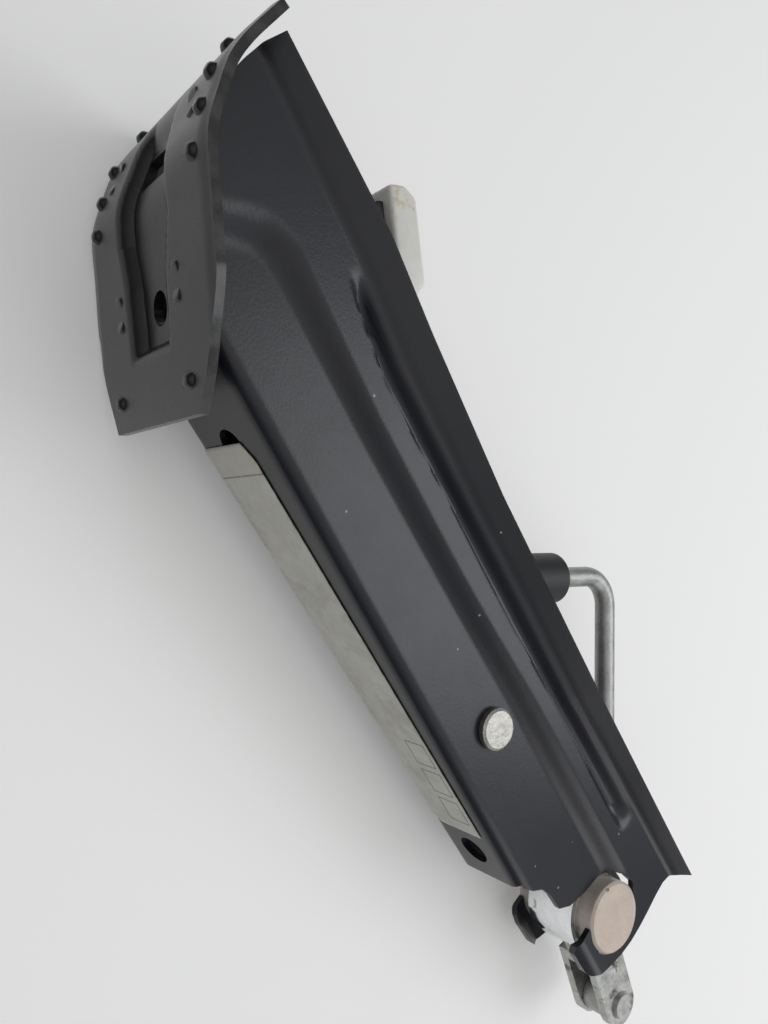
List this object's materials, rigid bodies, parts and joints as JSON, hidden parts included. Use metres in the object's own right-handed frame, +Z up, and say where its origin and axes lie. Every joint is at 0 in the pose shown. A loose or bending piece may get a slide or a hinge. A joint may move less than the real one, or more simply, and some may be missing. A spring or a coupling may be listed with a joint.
{
  "type": "swing-arm screw jack",
  "caption": "Folded single-column screw jack: pressed steel column with ribbed foot, swing arm with plastic saddle, trunnion screw and folding crank.",
  "frame": {"origin": "centre of the bounding box of the folded jack, on the surface it lies on", "axes": "+X along the column from the foot to the crank, +Y from the web to the column's open side, +Z up with the jack lying on its side"},
  "size_m": [0.4172, 0.1442, 0.098],
  "materials": {
    "black_paint": "satin black dip coat",
    "weld": "satin black over a weld bead",
    "zinc": "bright zinc plate",
    "chrome_sleeve": "polished",
    "grey_steel": "dull galvanised, stained",
    "nylon": "natural nylon, waxy",
    "pad_white": "translucent white nylon",
    "grip_black": "moulded black",
    "sticker": "aged film"
  },
  "bodies": {
    "column": {"column": "black_paint", "foot_plate": "black_paint", "weld_beads": "weld", "label": "sticker", "pivot_rivet": "zinc", "pivot_washers": "zinc", "pivot_tube": "zinc"},
    "arm": {"arm_plates": "black_paint", "arm_web": "black_paint", "saddle_pin": "zinc", "nut_rivets": "zinc"},
    "saddle": {"saddle_bracket": "black_paint", "saddle_pad": "pad_white"},
    "trunnion": {"trunnion_sleeve": "chrome_sleeve", "bearing_block": "nylon", "end_discs": "nylon", "thrust_ring": "zinc"},
    "screw": {"screw": "grey_steel", "clevis": "grey_steel", "clevis_pin": "grey_steel", "screw_stop": "grey_steel"},
    "nut": {"nut": "grey_steel"},
    "crank": {"crank": "grey_steel", "grip_cap": "grey_steel"},
    "grip": {"grip": "grip_black"}
  },
  "joints": [
    {"name": "arm_lift", "type": "hinge", "parent": "column", "child": "arm", "pos_m": [0.03407, -0.03201, 0.049], "axis": [0, 0, -1], "range_deg": [0, 70]},
    {"name": "saddle_tilt", "type": "hinge", "parent": "arm", "child": "saddle", "pos_m": [-0.14639, 0.01702, 0.049], "axis": [0, 0, 1], "range_deg": [0, 70]},
    {"name": "trunnion_swing", "type": "hinge", "parent": "column", "child": "trunnion", "pos_m": [0.14857, -0.02541, 0.049], "axis": [0, 0, 1], "range_deg": [0, 3.6]},
    {"name": "screw_spin", "type": "hinge", "parent": "trunnion", "child": "screw", "pos_m": [0.14857, -0.02541, 0.049], "axis": [-0.9725, 0.233, 0], "range_deg": [-2, 2]},
    {"name": "nut_travel", "type": "slide", "parent": "trunnion", "child": "nut", "axis": [0.9725, -0.233, 0], "range_m": [0, 0.0415]},
    {"name": "crank_fold", "type": "hinge", "parent": "screw", "child": "crank", "pos_m": [0.19907, -0.03751, 0.049], "axis": [0, 0, -1], "range_deg": [0, 158]},
    {"name": "grip_spin", "type": "hinge", "parent": "crank", "child": "grip", "pos_m": [0.00656, 0.02404, 0.049], "axis": [-0.5736, -0.8192, 0], "continuous": true}
  ],
  "couplings": [
    {"joint": "nut_travel", "follows": "arm_lift", "m_per_rad": 0.033723},
    {"joint": "trunnion_swing", "follows": "arm_lift", "ratio": 0.05}
  ]
}
